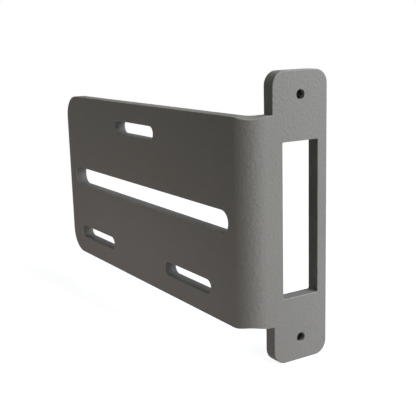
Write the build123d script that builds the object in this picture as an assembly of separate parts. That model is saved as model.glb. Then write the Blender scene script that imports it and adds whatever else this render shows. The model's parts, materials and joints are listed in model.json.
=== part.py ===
from build123d import *
from math import cos, pi, sin
import os

# Strike bracket: one piece of steel sheet, folded square and coated.
# Its long slotted plate is bolted to a post, and its short flange holds the strike for a latch.
# The origin lies on the flange's outer face, midway between the two tapped strike holes.
# +X leaves that face, the plate runs back along -X, +Y points to the flange's free edge and +Z is up.
# Lengths are in millimetres and turns in radians.

# Sheet and fold
SHEET = 6.35
BEND_INSIDE = 4.0
BEND_PULL_IN = 1.15  # how far folding draws the stretched outer edge in, midway from the plate to the ears
BEND_STEPS = 6  # steps of the turn between which the bend is drawn
FLAT_STEPS = 2  # steps of the flat beyond it that folding draws in too

# Plate, its length counted from the flange's outer face
PLATE_LENGTH = 178.0
PLATE_HEIGHT = 90.0
PLATE_CORNER = 12.0

# Flange, its depth counted from the plate's outer face, with an ear above and below the plate
FLANGE_DEPTH = 42.3
EAR_BEND_GAP = 3.65
EAR_ROOT = 1.0  # the part of that gap, beside the ear, that folding leaves as it was
EAR_REACH = 17.5
EAR_CORNER = 6.0

# Opening that the latch goes through
OPENING_HEIGHT = 67.0
OPENING_WIDTH = 18.5
OPENING_CORNER = 0.5

# Holes for the strike's two screws, at the drilled size of an M5 thread
TAP_RADIUS = 2.1
TAP_SPACING = 105.0
TAP_LEAD_IN = 0.15

# Long slot, along the middle of the plate
LONG_SLOT_WIDTH = 10.0
LONG_SLOT_END_MARGIN = 8.0
LONG_SLOT_BEND_GAP = 3.0

# Small slots: two below the long slot, and one above it, midway between them
SMALL_SLOT_LENGTH = 41.0
SMALL_SLOT_WIDTH = 6.6
SMALL_SLOT_END_MARGIN = 13.0
SMALL_SLOT_PITCH = 96.0
SMALL_SLOT_ROW = 32.0

# Softened edges of the cut sheet
EDGE_RADIUS = 0.4

# Places that follow from the sizes above
bend_outside = BEND_INSIDE + SHEET
ear_start = bend_outside + EAR_BEND_GAP
ear_width = FLANGE_DEPTH - ear_start
plate_outer_y = -(ear_start + ear_width / 2)
plate_inner_y = plate_outer_y + SHEET
bend_axis_x = -bend_outside
bend_axis_y = plate_outer_y + bend_outside
quarter_turn = pi / 2
bend_length = quarter_turn * bend_outside
drawn_flat = EAR_BEND_GAP - EAR_ROOT
flange_seam_y = bend_axis_y + drawn_flat
flange_edge_y = plate_outer_y + FLANGE_DEPTH
plate_end_x = -PLATE_LENGTH
half_plate = PLATE_HEIGHT / 2
half_ear = half_plate + EAR_REACH

# Drawing planes on the sheet's inner faces, from which SHEET reaches the outer faces
plate_plane = Plane(origin=(0, plate_inner_y, 0), x_dir=(1, 0, 0), z_dir=(0, -1, 0))
flange_plane = Plane(origin=(-SHEET, 0, 0), x_dir=(0, 1, 0), z_dir=(1, 0, 0))


def rectangle_between(low, high, half_height):
    """A rectangle from low to high, reaching half_height above and below the middle."""
    return Pos((low + high) / 2, 0) * Rectangle(high - low, 2 * half_height)


def slots():
    """The long slot and the three small ones, all with fully round ends."""
    long_low = plate_end_x + LONG_SLOT_END_MARGIN
    long_high = bend_axis_x - LONG_SLOT_BEND_GAP
    cuts = Pos((long_low + long_high) / 2, 0) * SlotOverall(long_high - long_low, LONG_SLOT_WIDTH)
    first_x = plate_end_x + SMALL_SLOT_END_MARGIN + SMALL_SLOT_LENGTH / 2
    places = [
        (first_x, -SMALL_SLOT_ROW),
        (first_x + SMALL_SLOT_PITCH, -SMALL_SLOT_ROW),
        (first_x + SMALL_SLOT_PITCH / 2, SMALL_SLOT_ROW),
    ]
    for x, z in places:
        cuts += Pos(x, z) * SlotOverall(SMALL_SLOT_LENGTH, SMALL_SLOT_WIDTH)
    return cuts


def softened(piece, broad_plane, along, seam):
    """Rounds the edges of both broad faces, but not where the fold goes on from them at the seam."""
    edges = piece.faces().filter_by(broad_plane).edges()
    free_edges = [edge for edge in edges if abs(edge.center().dot(along) - seam) > EDGE_RADIUS]
    return piece.solid().fillet(EDGE_RADIUS, free_edges)


def plate():
    """The slotted flat from its free end to the bend, with both free corners round."""
    outline = rectangle_between(plate_end_x, bend_axis_x, half_plate)
    free_corners = outline.vertices().group_by(Axis.X)[0]
    outline = fillet(free_corners, PLATE_CORNER) - slots()
    return softened(extrude(plate_plane * outline, SHEET), Plane.XZ, Vector(1, 0, 0), bend_axis_x)


def flange():
    """The upright from the bend to its free edge, with its two ears and the opening between them."""
    ears = rectangle_between(-ear_width / 2, flange_edge_y, half_ear)
    ears = fillet(ears.vertices(), EAR_CORNER)
    root = rectangle_between(flange_seam_y, 0, half_plate)
    opening = Rectangle(OPENING_WIDTH, OPENING_HEIGHT)
    opening = fillet(opening.vertices(), OPENING_CORNER)
    outline = ears + root - opening
    return softened(extrude(flange_plane * outline, SHEET), Plane.YZ, Vector(0, 1, 0), flange_seam_y)


def drawn_section(turn, onwards):
    """The sheet's section at a turn of the bend, or onwards from its end, with its outer edges drawn in."""
    along = turn * bend_outside + onwards
    pull_in = BEND_PULL_IN * sin(pi * along / (bend_length + drawn_flat)) ** 2
    corners = [
        (BEND_INSIDE, -half_plate),
        (bend_outside, pull_in - half_plate),
        (bend_outside, half_plate - pull_in),
        (BEND_INSIDE, half_plate),
    ]
    outline = make_face(Polyline(*corners, close=True))
    outline = fillet(outline.vertices(), EDGE_RADIUS)
    heading = turn - quarter_turn
    outward = Vector(cos(heading), sin(heading), 0)
    across = outward.cross(Vector(0, 0, 1))
    return Plane(origin=(bend_axis_x, bend_axis_y + onwards, 0), x_dir=outward, z_dir=across) * outline


def bend():
    """The turn from the plate to the flange and the flat beyond it, with their outer edges drawn in."""
    turned = [drawn_section(quarter_turn * step / BEND_STEPS, 0) for step in range(BEND_STEPS + 1)]
    flat = [drawn_section(quarter_turn, drawn_flat * step / FLAT_STEPS) for step in range(FLAT_STEPS + 1)]
    return loft(turned) + loft(flat)


def tap_cutter(z):
    """One screw hole through the flange, with a small lead-in at both mouths."""
    axis = Plane(origin=(-SHEET / 2, 0, z), z_dir=(1, 0, 0))
    mouth = Cone(TAP_RADIUS, TAP_RADIUS + TAP_LEAD_IN, TAP_LEAD_IN)
    mouth = Pos(0, 0, (SHEET - TAP_LEAD_IN) / 2) * mouth
    return axis * (Cylinder(TAP_RADIUS, SHEET) + mouth + mirror(mouth, Plane.XY))


def strike_bracket():
    """The whole folded sheet as one solid."""
    body = plate() + bend() + flange()
    for z in (-TAP_SPACING / 2, TAP_SPACING / 2):
        body -= tap_cutter(z)
    return body.solid()


bracket = strike_bracket()
bracket.label = "strike_bracket"
os.makedirs("parts", exist_ok=True)
export_step(bracket, "parts/strike_bracket.step")
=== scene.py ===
import json
from math import cos, pi, radians, sin

import bmesh
import bpy
from mathutils import Matrix, Vector


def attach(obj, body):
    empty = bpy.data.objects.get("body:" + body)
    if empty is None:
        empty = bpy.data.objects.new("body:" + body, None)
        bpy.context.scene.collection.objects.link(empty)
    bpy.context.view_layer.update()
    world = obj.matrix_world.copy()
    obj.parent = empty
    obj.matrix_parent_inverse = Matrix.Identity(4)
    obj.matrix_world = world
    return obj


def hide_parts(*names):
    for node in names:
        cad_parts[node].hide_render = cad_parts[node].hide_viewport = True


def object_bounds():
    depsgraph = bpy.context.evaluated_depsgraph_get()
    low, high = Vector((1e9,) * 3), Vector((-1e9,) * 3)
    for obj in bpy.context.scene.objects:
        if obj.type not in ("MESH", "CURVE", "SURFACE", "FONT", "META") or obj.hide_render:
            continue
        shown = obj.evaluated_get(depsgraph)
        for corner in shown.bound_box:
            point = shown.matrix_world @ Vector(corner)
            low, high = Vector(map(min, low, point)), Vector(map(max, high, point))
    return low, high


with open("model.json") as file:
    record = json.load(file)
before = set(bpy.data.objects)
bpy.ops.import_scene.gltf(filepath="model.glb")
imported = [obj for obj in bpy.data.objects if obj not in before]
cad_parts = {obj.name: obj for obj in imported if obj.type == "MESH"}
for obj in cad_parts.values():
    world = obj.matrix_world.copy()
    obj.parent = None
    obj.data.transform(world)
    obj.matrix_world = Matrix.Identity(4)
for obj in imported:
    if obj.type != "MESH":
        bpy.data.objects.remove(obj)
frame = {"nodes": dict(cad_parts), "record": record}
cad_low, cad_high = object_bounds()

# The strike bracket's coated sheet with its two cut threads, and the pale studio that it is shown in.
# Lengths are in metres, angles in degrees, colours are linear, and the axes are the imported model's own.
MM = 0.001
SCENE = bpy.context.scene

# Folded sheet, as the solid has it
SHEET = 6.35 * MM
BEND_OUTSIDE = 10.35 * MM  # radius of the fold's outer face
WELD_DISTANCE = 0.0005 * MM  # corners of its faces that lie nearer than this are one

# Strike screws' thread, cut outwards from the drilled holes of the solid
TAPPED_MOUNT = "strike_screws"
THREAD_PITCH = 0.8 * MM
THREAD_DEPTH = 0.37 * MM
THREAD_CREST_SHARE = 0.25  # of the pitch, where the drilled wall is left standing
THREAD_ROOT_SHARE = 0.125  # of the pitch, where the groove has its full depth
THREAD_RUN_IN = 0.8 * MM  # how far inside each mouth the groove reaches its full depth
THREAD_SIDES = 48
THREAD_ROWS_PER_PITCH = 12
CUTTER_INSET = 0.06 * MM  # keeps the cutter's core clear of the drilled wall

# Smooth shading
SHARP_ANGLE = 38
FLAT_COSINE = 0.9999  # how nearly a face must point along X to count as one of the flange's broad faces
MOUTH_ALLOWANCE = 0.5 * MM  # how far round a drilled hole its thread and its mouth may reach

# Powder coat
COAT_COLOUR = (0.232, 0.230, 0.222)
COAT_SHADES = (0.95, 1.05)  # the darkest and palest that mottle and grain each make it, as a factor
COAT_ROUGHNESS = (0.6, 0.7)
COAT_SPECULAR = 0.2
PAINTED_HOLE_SHADE_START = 1.8 * MM  # how deep from each face the holes keep the coat; deeper, the thread's steel is painted nearly black as their shade
PAINTED_EDGE_HIGHLIGHT = 0.5  # painted highlight: how much paler the coat is made midway round a rounded edge
MOTTLE_SIZE = 40 * MM
PEEL_SIZE = 1.3 * MM
GRAIN_SIZE = 0.45 * MM
PEEL_HEIGHT = 0.28 * MM
GRAIN_HEIGHT_SHARE = 0.35  # of the peel's height

# Steel of the cut thread, its colour nearly black as painted shade deep in the holes
THREAD_PAINTED_SHADE_COLOUR = (0.02, 0.0195, 0.019, 1)
THREAD_ROUGHNESS = (0.4, 0.6)
TOOL_MARK_SIZE = 0.2 * MM

# Camera, solved from the photograph's edges together with the bracket's sizes
IMAGE_SIDE = 416
FOCAL_PIXELS = 806.6
PRINCIPAL_X = 208.1
PRINCIPAL_Y = 207.2
SENSOR_WIDTH = 36.0
CLIP_START = 10 * MM
CAMERA_PLACE = (259.37 * MM, -209.47 * MM, 78.05 * MM)
CAMERA_YAW = 57.78
CAMERA_PITCH = 12.20
CAMERA_ROLL = -1.52

# Studio's far lamps: name, azimuth, elevation, width, strength and colour
FAR_LAMPS = (
    ("key", 95, 32, 30, 0.86, (1.0, 0.78, 0.72)),
    ("low_side", 95, 10, 30, 1.15, (0.915, 1.0, 0.89)),
    ("fill", -40, 10, 60, 0.255, (1.0, 0.98, 0.61)),
)

# Studio's soft cards near by: name, place, the point it faces, length, height, power and colour.
# Their places and sizes are in millimetres.
CARDS = (
    ("top_card", (150, 120, 180), (0, 0, 30), 120, 120, 0.46, (0.84, 0.917, 1.0)),
    ("back_card", (-60, 40, 260), (-60, -20, 0), 200, 80, 0.095, (0.98, 1.0, 0.97)),
    ("front_card", (90, 60, -52), (0, 0, -50), 80, 16, 0.0223, (0.84, 0.85, 1.0)),
    ("low_card", (-110, -110, -56), (-110, -28, -45), 220, 30, 0.027, (1.0, 0.79, 0.79)),
)
FLOOR_HALF_SIDE = 6.0
FLOOR_SHADE = 0.48
WHITE = (1, 1, 1)


# Small helpers for node trees


def new_material(name):
    """An empty node material with its Principled shader, as (material, tree, shader)."""
    material = bpy.data.materials.new(name)
    material.use_nodes = True
    tree = material.node_tree
    return material, tree, tree.nodes["Principled BSDF"]


def plug(tree, socket, value):
    """Gives a socket its value, or joins it to the other node's socket that stands for the value."""
    if isinstance(value, bpy.types.NodeSocket):
        tree.links.new(value, socket)
    else:
        socket.default_value = value


def feed(tree, target, **inputs):
    """Plugs in a node's inputs, given by name with underscores for spaces."""
    for name, value in inputs.items():
        plug(tree, target.inputs[name.replace("_", " ")], value)


def node(tree, kind, settings=None, **inputs):
    """A new shader node with its settings and its inputs."""
    made = tree.nodes.new(kind)
    for name, value in (settings or {}).items():
        setattr(made, name, value)
    feed(tree, made, **inputs)
    return made


def maths(tree, operation, a, b=0.0):
    """One sum on two numbers or sockets."""
    made = node(tree, "ShaderNodeMath", {"operation": operation})
    for socket, value in zip(made.inputs, (a, b)):
        plug(tree, socket, value)
    return made.outputs["Value"]


def vector_maths(tree, operation, *vectors, **inputs):
    """One sum on vectors or sockets, as the outputs of its node."""
    made = node(tree, "ShaderNodeVectorMath", {"operation": operation}, **inputs)
    for socket, value in zip(made.inputs, vectors):
        plug(tree, socket, value)
    return made.outputs


def noise(tree, place, size, detail=2.0, roughness=0.5):
    """Noise whose features are about size across, from 0 to 1."""
    made = node(
        tree, "ShaderNodeTexNoise",
        Vector=place, Scale=1 / size, Detail=detail, Roughness=roughness,
    )
    return made.outputs["Fac"]


def spread(tree, value, low, high):
    """A value from 0 to 1 turned into one from low to high."""
    made = node(tree, "ShaderNodeMapRange", Value=value, To_Min=low, To_Max=high)
    return made.outputs["Result"]


# Materials


def on_rounded_edge(tree, place, normal):
    """1 midway round the softened edges, and 0 on the sheet's broad faces and on its cut walls."""
    parts = node(tree, "ShaderNodeSeparateXYZ", Vector=place).outputs
    past_plate = maths(tree, "SUBTRACT", parts["X"], cad_high.x - BEND_OUTSIDE)
    past_plate = maths(tree, "MAXIMUM", past_plate, 0)
    before_flange = maths(tree, "SUBTRACT", parts["Y"], cad_low.y + BEND_OUTSIDE)
    before_flange = maths(tree, "MINIMUM", before_flange, 0)
    outward = node(tree, "ShaderNodeCombineXYZ", X=past_plate, Y=before_flange).outputs["Vector"]
    outward = vector_maths(tree, "NORMALIZE", outward)["Vector"]
    cosine = vector_maths(tree, "DOT_PRODUCT", outward, normal)["Value"]
    facing = maths(tree, "POWER", maths(tree, "ABSOLUTE", cosine), 2)
    rest = maths(tree, "SUBTRACT", 1, facing)
    return maths(tree, "MULTIPLY", maths(tree, "MULTIPLY", facing, rest), 4)


def coated_steel():
    """Semi-matt grey powder coat: fine orange peel, a slight mottle and a grain, with a painted highlight
    along the rounded edges.
    """
    material, tree, shader = new_material("powder_coat")
    surface = node(tree, "ShaderNodeTexCoord").outputs
    place = surface["Object"]
    mottle = noise(tree, place, MOTTLE_SIZE, detail=3.0)
    peel = noise(tree, place, PEEL_SIZE, detail=1.5)
    grain = noise(tree, place, GRAIN_SIZE, roughness=0.6)
    level = maths(tree, "MULTIPLY", spread(tree, mottle, *COAT_SHADES), spread(tree, grain, *COAT_SHADES))
    # painted highlight: the coat is made paler midway round the rounded edges
    edge_highlight_share = on_rounded_edge(tree, place, surface["Normal"])
    level = maths(tree, "MULTIPLY", level, spread(tree, edge_highlight_share, 1, 1 + PAINTED_EDGE_HIGHLIGHT))
    height = maths(tree, "ADD", peel, maths(tree, "MULTIPLY", grain, GRAIN_HEIGHT_SHARE))
    bump = node(tree, "ShaderNodeBump", Height=height, Distance=PEEL_HEIGHT, Strength=1.0)
    feed(
        tree, shader,
        Base_Color=vector_maths(tree, "SCALE", COAT_COLOUR, Scale=level)["Vector"],
        Specular_IOR_Level=COAT_SPECULAR,
        Roughness=spread(tree, grain, *COAT_ROUGHNESS),
        Normal=bump.outputs["Normal"],
    )
    return material


def thread_steel_and_painted_shade():
    """Bare steel where the tap cut it, painted nearly black as the holes' shade, dark as the holes look in
    the photograph.
    """
    material, tree, shader = new_material("tapped_steel_and_painted_shade")
    place = node(tree, "ShaderNodeTexCoord").outputs["Object"]
    marks = noise(tree, place, TOOL_MARK_SIZE)
    roughness = spread(tree, marks, *THREAD_ROUGHNESS)
    feed(tree, shader, Base_Color=THREAD_PAINTED_SHADE_COLOUR, Metallic=1.0, Roughness=roughness)
    return material


# Bracket


def tapped_holes():
    """The hole centres on the flange's outer face, and the hole radius, from the record's mount."""
    mount = next(m for m in frame["record"]["mounts"] if m["name"] == TAPPED_MOUNT)
    middle = Vector(mount["pos_m"])
    half_spacing = mount["dims"]["spacing_y_mm"] * MM / 2
    centres = [middle + Vector((0, 0, side * half_spacing)) for side in (-1, 1)]
    return centres, mount["dims"]["hole_r_mm"] * MM


def groove_share(turns):
    """How far into the groove this many turns along the hole lie, from 0 at the crest to 1 at the root."""
    from_root = abs(turns % 1 - 0.5) * 2
    flank = 1 - THREAD_CREST_SHARE - THREAD_ROOT_SHARE
    return min(1, max(0, (1 - THREAD_CREST_SHARE - from_root) / flank))


def thread_ring(tool, centre, core, x):
    """One ring of the cutter's corners round the hole, at x from the flange's outer face."""
    inwards = min(-x, SHEET + x)
    depth = THREAD_DEPTH * min(1, max(0, inwards / THREAD_RUN_IN))
    ring = []
    for side in range(THREAD_SIDES):
        share = side / THREAD_SIDES
        out = core + (CUTTER_INSET + depth) * groove_share(x / THREAD_PITCH - share)
        spoke = Vector((x, out * cos(2 * pi * share), out * sin(2 * pi * share)))
        ring.append(tool.verts.new(centre + spoke))
    return ring


def thread_cutter(centre, radius):
    """A closed screw shape through the flange, whose ridges stand out of the drilled hole."""
    tool = bmesh.new()
    overrun = THREAD_PITCH / 2
    rows = round((SHEET + 2 * overrun) / THREAD_PITCH * THREAD_ROWS_PER_PITCH)
    rings = []
    for row in range(rows + 1):
        x = overrun - row * THREAD_PITCH / THREAD_ROWS_PER_PITCH
        rings.append(thread_ring(tool, centre, radius - CUTTER_INSET, x))
    for first, second in zip(rings, rings[1:]):
        for side in range(THREAD_SIDES):
            beside = (side + 1) % THREAD_SIDES
            tool.faces.new((first[side], first[beside], second[beside], second[side]))
    tool.faces.new(reversed(rings[0]))
    tool.faces.new(rings[-1])
    bmesh.ops.recalc_face_normals(tool, faces=tool.faces)
    mesh = bpy.data.meshes.new("thread_cutter")
    tool.to_mesh(mesh)
    tool.free()
    return bpy.data.objects.new("thread_cutter", mesh)


def closed_copy(name, source):
    """A new object with the solid's surface as one closed mesh."""
    mesh = bpy.data.meshes.new(name)
    welded = bmesh.new()
    welded.from_mesh(source.data)
    bmesh.ops.remove_doubles(welded, verts=welded.verts, dist=WELD_DISTANCE)
    welded.to_mesh(mesh)
    welded.free()
    made = bpy.data.objects.new(name, mesh)
    SCENE.collection.objects.link(made)
    return made


def keep_modified_mesh(body):
    """Makes what the modifiers show the object's own mesh."""
    bpy.context.view_layer.update()
    shown = body.evaluated_get(bpy.context.evaluated_depsgraph_get())
    mesh = bpy.data.meshes.new_from_object(shown)
    body.modifiers.clear()
    body.data = mesh


def cut_away(body, cutter):
    """Takes the cutter's shape out of the body, and removes the cutter."""
    SCENE.collection.objects.link(cutter)
    step = body.modifiers.new("cut", "BOOLEAN")
    step.operation = "DIFFERENCE"
    step.solver = "EXACT"
    step.object = cutter
    keep_modified_mesh(body)
    bpy.data.objects.remove(cutter)


def in_a_hole(point, centres, reach):
    """Whether a point lies within reach of the axis of one of the tapped holes."""
    return any((point - centre).yz.length < reach for centre in centres)


def paint(body, centres, reach):
    """The coat all over, but deep in the tapped holes the cut steel, painted nearly black as their shade.
    """
    body.data.materials.clear()
    body.data.materials.append(coated_steel())
    body.data.materials.append(thread_steel_and_painted_shade())
    for face in body.data.polygons:
        # deeper than this the holes get the nearly black steel: painted shade
        in_painted_shade = PAINTED_HOLE_SHADE_START - SHEET < face.center.x < -PAINTED_HOLE_SHADE_START
        face.material_index = int(in_painted_shade and in_a_hole(face.center, centres, reach))


def crease_mouths(mesh, centres, reach):
    """Marks the holes' rims as sharp, so that the flat face round them stays flat in shade."""
    shaped = bmesh.new()
    shaped.from_mesh(mesh)
    for edge in shaped.edges:
        if not all(in_a_hole(corner.co, centres, reach) for corner in edge.verts):
            continue
        flat_sides = [abs(face.normal.x) > FLAT_COSINE for face in edge.link_faces]
        on_rim = any(flat_sides) and not all(flat_sides)
        edge.smooth = edge.smooth and not on_rim
    shaped.to_mesh(mesh)
    shaped.free()


def shade_softly(body, centres, reach):
    """Smooth shading that leaves the broad faces flat and runs round the softened edges."""
    body.data.shade_smooth()
    body.data.set_sharp_from_angle(angle=radians(SHARP_ANGLE))
    crease_mouths(body.data, centres, reach)
    step = body.modifiers.new("flat_faces", "WEIGHTED_NORMAL")
    step.keep_sharp = True


def coated_bracket():
    """The folded sheet, with a thread cut in both strike holes."""
    solid = frame["nodes"]["strike_bracket"]
    body = closed_copy("coated_bracket", solid)
    centres, radius = tapped_holes()
    for centre in centres:
        cut_away(body, thread_cutter(centre, radius))
    reach = radius + MOUTH_ALLOWANCE
    paint(body, centres, reach)
    shade_softly(body, centres, reach)
    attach(body, "root")
    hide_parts("strike_bracket")


# Studio


def add_camera():
    """The camera at the photograph's place, level and frame."""
    data = bpy.data.cameras.new("camera")
    data.sensor_width = SENSOR_WIDTH
    data.lens = FOCAL_PIXELS / IMAGE_SIDE * SENSOR_WIDTH
    data.shift_x = (IMAGE_SIDE / 2 - PRINCIPAL_X) / IMAGE_SIDE
    data.shift_y = (PRINCIPAL_Y - IMAGE_SIDE / 2) / IMAGE_SIDE
    data.clip_start = CLIP_START
    camera = bpy.data.objects.new("camera", data)
    turn = Matrix.Rotation(radians(CAMERA_YAW), 4, "Z")
    tilt = Matrix.Rotation(radians(90 - CAMERA_PITCH), 4, "X")
    roll = Matrix.Rotation(radians(CAMERA_ROLL), 4, "Z")
    camera.matrix_world = Matrix.Translation(CAMERA_PLACE) @ turn @ tilt @ roll
    SCENE.collection.objects.link(camera)
    SCENE.camera = camera


def add_far_lamp(name, azimuth, elevation, width, strength, colour):
    """A wide, far light. Azimuth 0 shines along +Y and 90 along -X, and width is its angle across."""
    data = bpy.data.lights.new(name, "SUN")
    data.energy = strength
    data.color = colour
    data.angle = radians(width)
    lamp = bpy.data.objects.new(name, data)
    turn = Matrix.Rotation(radians(azimuth), 4, "Z")
    tilt = Matrix.Rotation(radians(90 - elevation), 4, "X")
    lamp.matrix_world = turn @ tilt
    SCENE.collection.objects.link(lamp)


def add_card(name, place, facing, length, height, power, colour):
    """A soft lit card that the camera doesn't see."""
    data = bpy.data.lights.new(name, "AREA")
    data.shape = "RECTANGLE"
    data.size = length * MM
    data.size_y = height * MM
    data.energy = power
    data.color = colour
    lamp = bpy.data.objects.new(name, data)
    lamp.location = Vector(place) * MM
    lamp.rotation_euler = (Vector(facing) - Vector(place)).to_track_quat("-Z", "Y").to_euler()
    lamp.visible_camera = False
    SCENE.collection.objects.link(lamp)


def seen_share(tree):
    """1 for rays that show a thing, straight or in gloss or glass, and 0 for those that only light one."""
    path = node(tree, "ShaderNodeLightPath").outputs
    seen = maths(tree, "MAXIMUM", path["Is Camera Ray"], path["Is Glossy Ray"])
    return maths(tree, "MAXIMUM", seen, path["Is Transmission Ray"])


def add_world():
    """White where it is seen, straight or in gloss. The lamps and the cards give all the other light."""
    world = bpy.data.worlds.new("studio")
    world.use_nodes = True
    tree = world.node_tree
    feed(tree, tree.nodes["Background"], Color=(*WHITE, 1), Strength=seen_share(tree))
    SCENE.world = world


def lamplight_on_floor():
    """The open floor's red, green and blue in the far lamps' light."""
    lit = Vector((0, 0, 0))
    for _, _, elevation, _, strength, colour in FAR_LAMPS:
        lit += Vector(colour) * strength * sin(radians(elevation))
    return lit * FLOOR_SHADE / pi


def floor_paper():
    """Pale paper, raised to white where it is seen, so that only the shadow shows on it."""
    material, tree, shader = new_material("floor_paper")
    missing = Vector(WHITE) - lamplight_on_floor()
    feed(
        tree, shader,
        Base_Color=(FLOOR_SHADE, FLOOR_SHADE, FLOOR_SHADE, 1),
        Roughness=1.0,
        Specular_IOR_Level=0.0,
        Emission_Color=(*missing, 1),
        Emission_Strength=seen_share(tree),
    )
    return material


def add_floor():
    """A wide floor under the lower ear."""
    mesh = bpy.data.meshes.new("floor")
    size = FLOOR_HALF_SIDE
    corners = [(-size, -size, 0), (size, -size, 0), (size, size, 0), (-size, size, 0)]
    mesh.from_pydata(corners, [], [(0, 1, 2, 3)])
    mesh.materials.append(floor_paper())
    floor = bpy.data.objects.new("floor", mesh)
    floor.location.z = cad_low.z
    SCENE.collection.objects.link(floor)


coated_bracket()
add_camera()
add_floor()
add_world()
for lamp in FAR_LAMPS:
    add_far_lamp(*lamp)
for card in CARDS:
    add_card(*card)
SCENE.view_settings.view_transform = "Standard"
